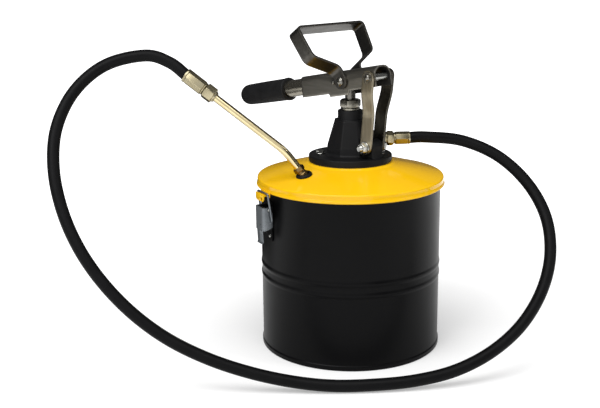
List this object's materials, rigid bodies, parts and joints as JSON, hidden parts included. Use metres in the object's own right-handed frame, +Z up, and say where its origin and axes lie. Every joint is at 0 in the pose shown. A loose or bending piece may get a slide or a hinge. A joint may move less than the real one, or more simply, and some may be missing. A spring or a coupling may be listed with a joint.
{
  "type": "manual grease pump",
  "caption": "Hand lever grease pump on a round lidded bucket, with a delivery hose, a bent extension tube, a carry handle and toggle latches.",
  "frame": {"origin": "middle of the bucket's underside, on the floor", "axes": "+Z up along the bucket and the pump, the lever's grip towards -X, the lever swings about Y"},
  "size_m": [0.4534, 0.5132, 0.419],
  "materials": {
    "bucket_paint": "satin black paint",
    "lid_paint": "glossy yellow paint",
    "head_paint": "satin black paint on a casting",
    "lever_steel": "satin grey steel",
    "tube_steel": "drawn steel tube",
    "link_steel": "plain flat steel",
    "zinc": "bright zinc plate",
    "yellow_zinc": "yellow zinc plate",
    "latch_zinc": "dull zinc plate",
    "rod_steel": "ground steel",
    "barrel_steel": "plain steel",
    "grip_rubber": "matte black rubber",
    "hose_rubber": "matte black hose cover",
    "seal_rubber": "black seal rubber",
    "packing": "greased packing cord"
  },
  "bodies": {
    "pump": {"bucket_body": "bucket_paint", "bucket_bottom": "bucket_paint", "lid": "lid_paint", "lid_gasket": "seal_rubber", "keeper_a": "lid_paint", "keeper_b": "lid_paint", "latch_base_a": "bucket_paint", "latch_base_b": "bucket_paint", "latch_pin_a": "zinc", "latch_pin_b": "zinc", "latch_rivets": "zinc", "pump_head": "head_paint", "flange_gasket": "seal_rubber", "flange_screws": "zinc", "flange_nuts": "zinc", "gland_lock_ring": "zinc", "gland_nut": "zinc", "gland_packing": "packing", "pump_barrel": "barrel_steel", "foot_valve": "barrel_steel", "outlet_adapter": "zinc", "outlet_spring": "rod_steel", "outlet_nut": "zinc", "hose_ferrule_near": "yellow_zinc", "hose": "hose_rubber", "hose_ferrule_far": "yellow_zinc", "tube_nut": "yellow_zinc", "extension_tube": "yellow_zinc", "tube_coupler": "yellow_zinc", "lid_socket": "head_paint"},
    "links": {"link_near": "link_steel", "link_far": "link_steel", "link_bolt": "zinc", "link_nut": "zinc", "link_washers": "zinc", "link_top_pin": "zinc", "link_spacer": "yellow_zinc"},
    "lever": {"lever_channel": "lever_steel", "lever_tube": "tube_steel", "lever_grip": "grip_rubber", "rod_pin": "zinc", "rod_pin_nut": "zinc", "handle_stops": "zinc"},
    "handle": {"carry_handle": "lever_steel"},
    "rod": {"piston_rod": "rod_steel", "piston": "barrel_steel", "piston_seal": "seal_rubber"},
    "follower": {"follower_plate": "barrel_steel", "follower_seal": "seal_rubber"},
    "inlet_valve": {"inlet_ball": "rod_steel"},
    "outlet_valve": {"outlet_ball": "rod_steel"},
    "latch_a": {"latch_lever_a": "latch_zinc"},
    "bail_a": {"latch_bail_a": "latch_zinc"},
    "latch_b": {"latch_lever_b": "latch_zinc"},
    "bail_b": {"latch_bail_b": "latch_zinc"}
  },
  "joints": [
    {"name": "links_swing", "type": "hinge", "parent": "pump", "child": "links", "pos_m": [0.0392, 0, 0.2677], "axis": [0, 1, 0], "range_deg": [-3.5, 1]},
    {"name": "lever_pivot", "type": "hinge", "parent": "links", "child": "lever", "pos_m": [0.04911, 0, 0.35767], "axis": [0, 1, 0], "range_deg": [0, 45]},
    {"name": "handle_swing", "type": "hinge", "parent": "lever", "child": "handle", "pos_m": [0, 0, 0.3483], "axis": [0, 1, 0], "range_deg": [0, 100]},
    {"name": "rod_slide", "type": "slide", "parent": "pump", "child": "rod", "axis": [0, 0, 1], "range_m": [-0.001, 0.037]},
    {"name": "follower_slide", "type": "slide", "parent": "pump", "child": "follower", "axis": [0, 0, 1], "range_m": [0, 0.18]},
    {"name": "inlet_ball_lift", "type": "slide", "parent": "pump", "child": "inlet_valve", "axis": [0, 0, 1], "range_m": [0, 0.003]},
    {"name": "outlet_ball_lift", "type": "slide", "parent": "pump", "child": "outlet_valve", "axis": [0.6, 0.8, 0], "range_m": [0, 0.0025], "stiffness_N_per_m": 200, "springref_m": -0.004, "deforming": ["outlet_spring"]},
    {"name": "latch_a_swing", "type": "hinge", "parent": "pump", "child": "latch_a", "pos_m": [-0.03024, -0.12129, 0.196], "axis": [-0.9703, 0.2419, 0], "range_deg": [0, 100]},
    {"name": "bail_a_swing", "type": "hinge", "parent": "latch_a", "child": "bail_a", "pos_m": [-0.02951, -0.11838, 0.181], "axis": [-0.9703, 0.2419, 0], "range_deg": [-66, 1]},
    {"name": "latch_b_swing", "type": "hinge", "parent": "pump", "child": "latch_b", "pos_m": [0.03024, 0.12129, 0.196], "axis": [0.9703, -0.2419, 0], "range_deg": [0, 100]},
    {"name": "bail_b_swing", "type": "hinge", "parent": "latch_b", "child": "bail_b", "pos_m": [0.02951, 0.11838, 0.181], "axis": [0.9703, -0.2419, 0], "range_deg": [-66, 1]}
  ],
  "couplings": [
    {"joint": "links_swing", "follows": "lever_pivot", "ratio": -0.06},
    {"joint": "rod_slide", "follows": "lever_pivot", "m_per_rad": 0.0462},
    {"joint": "bail_a_swing", "follows": "latch_a_swing", "ratio": -0.64},
    {"joint": "bail_b_swing", "follows": "latch_b_swing", "ratio": -0.64}
  ]
}
